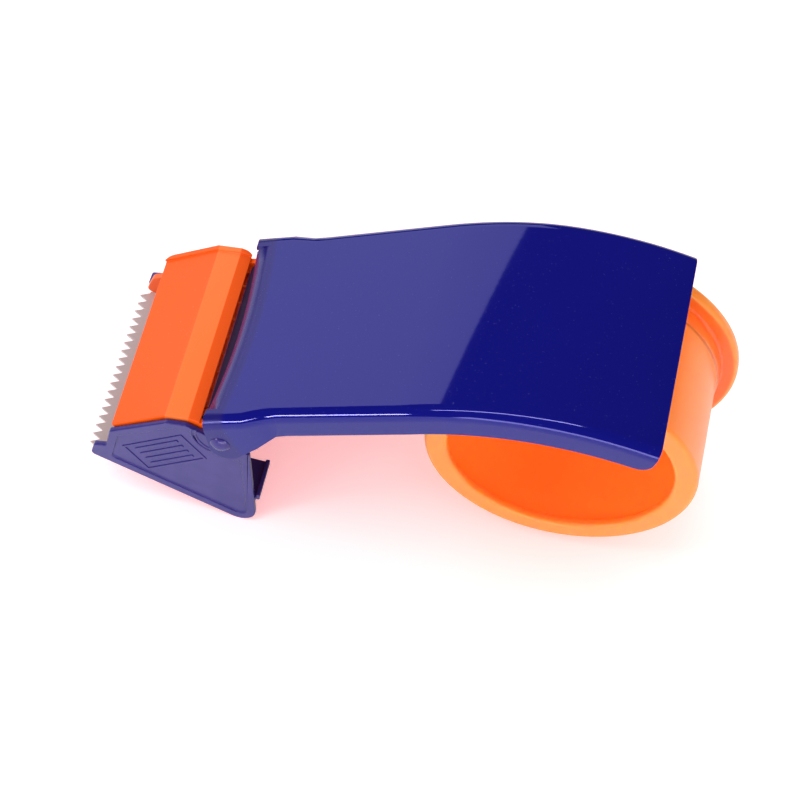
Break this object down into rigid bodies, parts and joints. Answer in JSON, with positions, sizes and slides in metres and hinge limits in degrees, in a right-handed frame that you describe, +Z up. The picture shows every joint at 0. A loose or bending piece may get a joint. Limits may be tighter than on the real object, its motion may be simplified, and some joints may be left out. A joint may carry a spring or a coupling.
{
  "type": "tape dispenser",
  "caption": "Hand-held packing tape dispenser: a curved sheet-metal arm over a flanged hub, and a head with a hinged flap, a tape guide and a toothed blade.",
  "frame": {"origin": "middle of the bounding box in X and Y, on the table", "axes": "+X from the cutting edge to the hub, +Y across the tape from the hub's open end to its flange, +Z up"},
  "size_m": [0.1702, 0.067, 0.0879],
  "materials": {
    "arm_paint": "gloss",
    "head_paint": "satin",
    "flap_orange": "satin",
    "guide_orange": "satin",
    "hub_orange": "satin",
    "blade_steel": "bright",
    "bright_steel": "plated",
    "dark_steel": "oiled",
    "washer_nylon": "natural"
  },
  "bodies": {
    "head": {"head_frame": "head_paint", "pivot_axle": "head_paint", "axle_clip": "dark_steel", "ear_washers": "washer_nylon", "tape_guide": "guide_orange", "cutter_blade": "blade_steel", "blade_rivets": "bright_steel", "hub_axle": "bright_steel", "hub_thrust_washer": "washer_nylon", "hub_washer": "bright_steel", "hub_clip": "dark_steel", "hub_carrier": "head_paint", "carrier_rivets": "bright_steel"},
    "arm": {"arm_cover": "arm_paint"},
    "flap": {"flap": "flap_orange", "flap_spring": "dark_steel"},
    "hub": {"hub": "hub_orange"}
  },
  "joints": [
    {"name": "arm_hinge", "type": "hinge", "parent": "head", "child": "arm", "pos_m": [-0.04745, 0, 0.0406], "axis": [0, -1, 0], "range_deg": [0, 18]},
    {"name": "flap_hinge", "type": "hinge", "parent": "head", "child": "flap", "pos_m": [-0.04745, 0, 0.0406], "axis": [0, 1, 0], "range_deg": [0, 7], "stiffness_Nm_per_rad": 0.02, "springref_deg": -17.19},
    {"name": "hub_spin", "type": "hinge", "parent": "head", "child": "hub", "pos_m": [0.04225, 0.00715, 0.0428], "axis": [0, 1, 0], "continuous": true}
  ]
}
